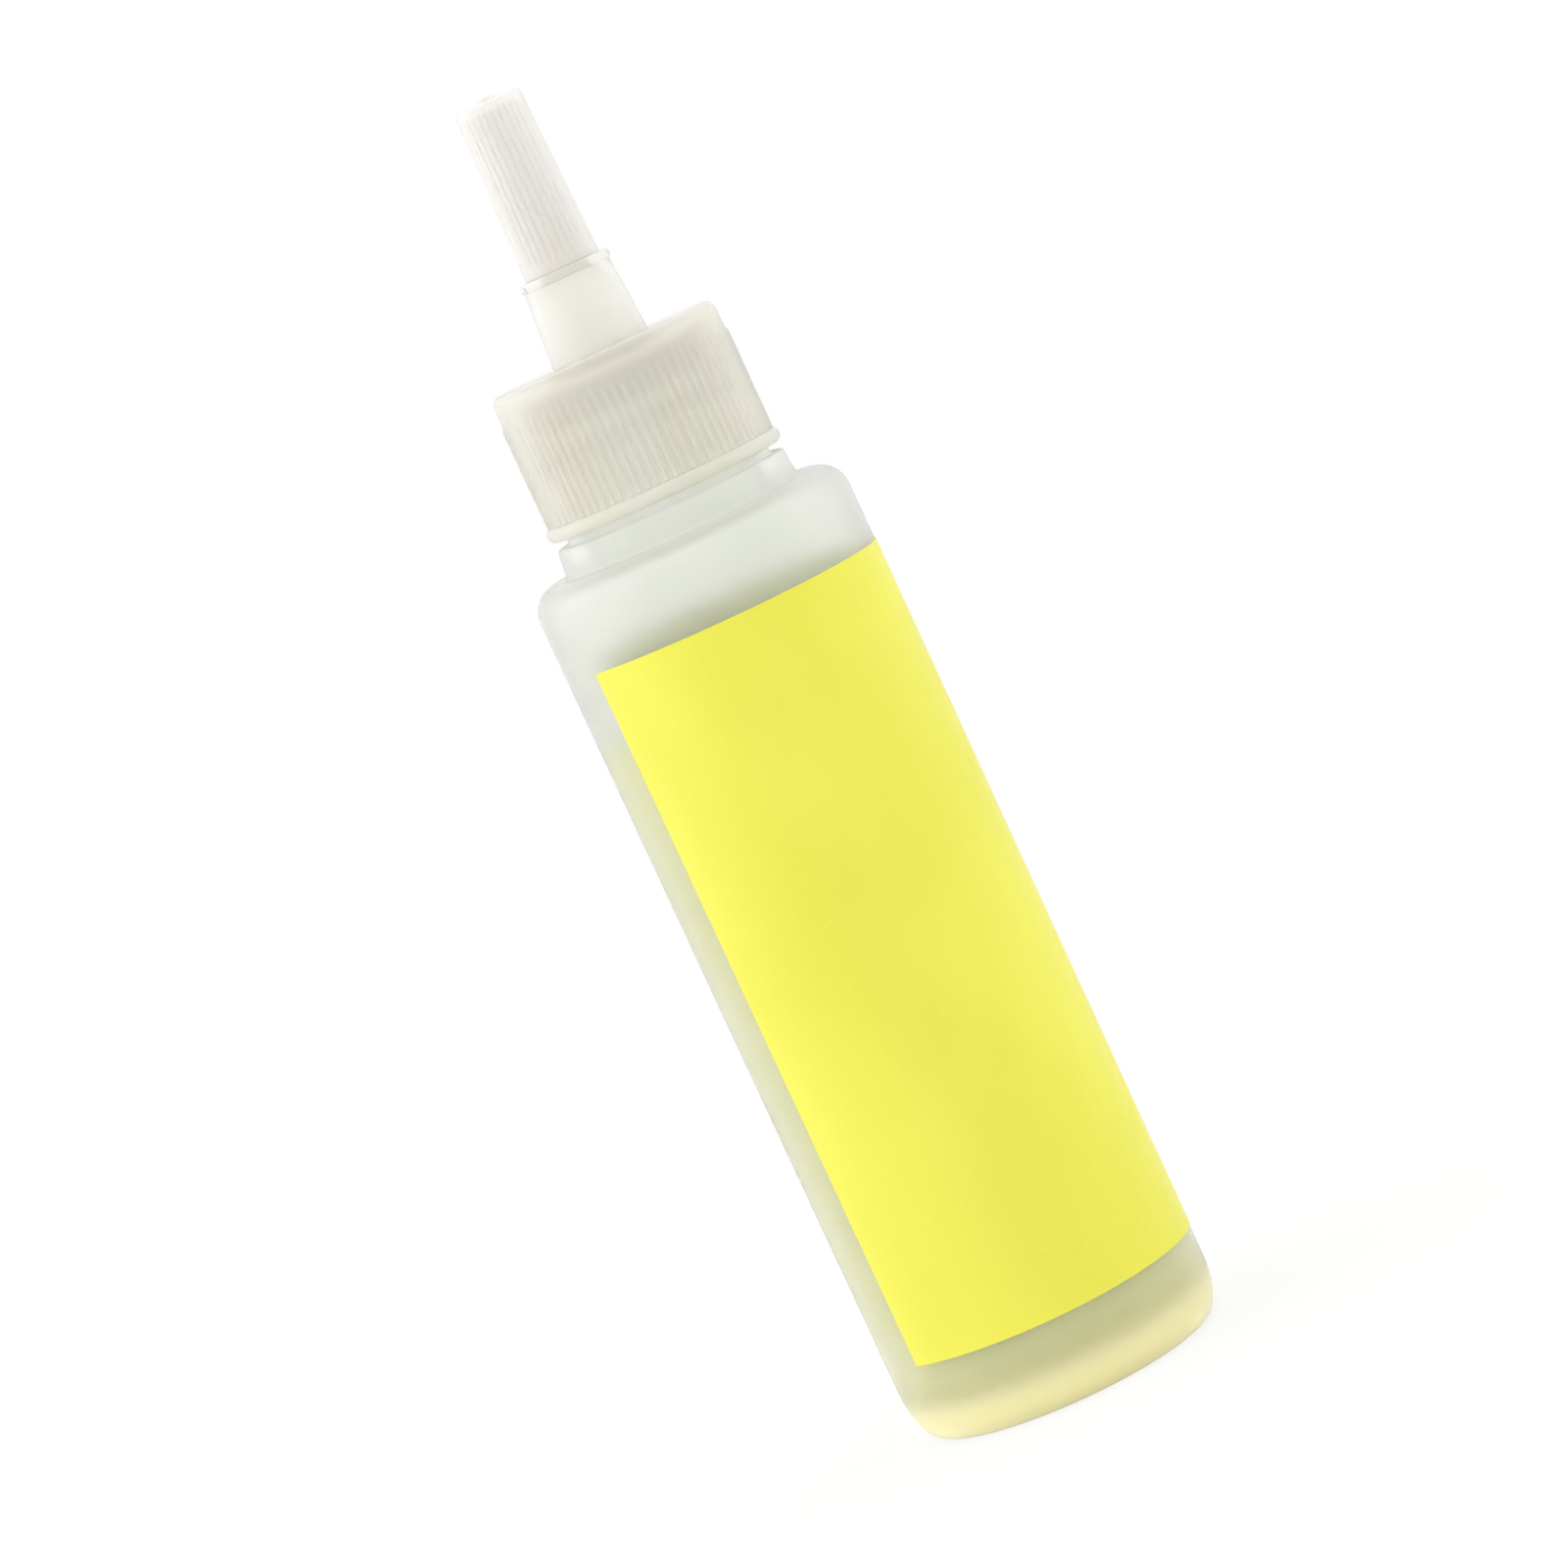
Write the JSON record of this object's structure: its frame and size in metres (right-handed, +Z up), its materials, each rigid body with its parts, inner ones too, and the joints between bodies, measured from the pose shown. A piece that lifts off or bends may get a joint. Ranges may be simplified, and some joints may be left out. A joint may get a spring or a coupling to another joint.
{
  "type": "chain lube bottle",
  "caption": "Round squeeze bottle with a long dropper nozzle, a ribbed screw cap, a fluted push-on tip cap and a plain wrap label, filled with lubricant.",
  "frame": {"origin": "centre of the base, on the surface that the bottle stands on", "axes": "+Z up along the bottle's axis towards the tip, -Y towards the front, +X to the right seen from the front"},
  "size_m": [0.0321, 0.0322, 0.1331],
  "materials": {
    "bottle": "satin frosted translucent plastic",
    "label": "satin yellow film",
    "oil": "clear pale yellow liquid",
    "nozzle": "satin translucent white plastic",
    "screw_cap": "satin off-white plastic",
    "tip_cap": "satin warm white plastic"
  },
  "bodies": {
    "bottle": {"bottle": "bottle", "label": "label", "oil_fill": "oil"},
    "nozzle": {"nozzle": "nozzle"},
    "screw_cap": {"screw_cap": "screw_cap"},
    "tip_cap": {"tip_cap": "tip_cap"}
  },
  "joints": [
    {"name": "cap_lift", "type": "slide", "parent": "bottle", "child": "nozzle", "axis": [0, 0, 1], "range_m": [0, 0.0145]},
    {"name": "cap_turn", "type": "hinge", "parent": "nozzle", "child": "screw_cap", "pos_m": [0, 0, 0.1009], "axis": [0, 0, 1], "range_deg": [0, 1620]},
    {"name": "tip_cap_pull", "type": "slide", "parent": "nozzle", "child": "tip_cap", "axis": [0, 0, 1], "range_m": [0, 0.02]}
  ],
  "couplings": [
    {"joint": "cap_lift", "follows": "cap_turn", "m_per_rad": 0.00050532}
  ]
}
